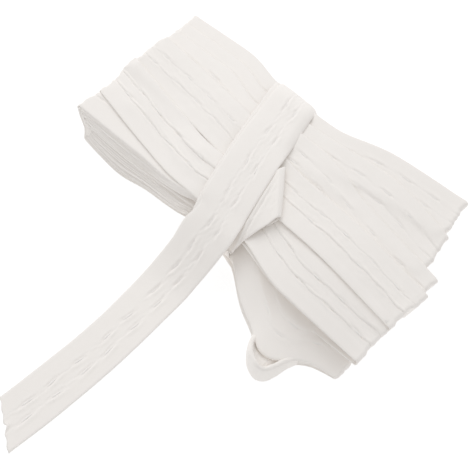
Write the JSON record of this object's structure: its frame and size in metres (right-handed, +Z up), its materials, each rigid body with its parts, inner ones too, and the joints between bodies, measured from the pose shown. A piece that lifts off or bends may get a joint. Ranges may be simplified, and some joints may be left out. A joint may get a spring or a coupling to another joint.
{
  "type": "tied hank of curtain heading tape",
  "caption": "Flat hand-wound hank of narrow white curtain heading tape with woven-in drawcords, fanned at both ends and tied round the waist with its own loose end.",
  "frame": {"origin": "on the resting surface, under the middle of the whole outline (bounding box bottom centre)", "axes": "+X along the hank's turns, towards the end on the right of the picture; +Y away from the loose end, which lies towards -Y; +Z up from the resting surface"},
  "size_m": [0.2024, 0.238, 0.0339],
  "materials": {
    "tape": "matt off-white woven cotton and polyester tape, pocket stripes and drawcords in the same white"
  },
  "bodies": {
    "root": {"wound_hank": "tape", "loose_end": "tape"}
  },
  "joints": []
}
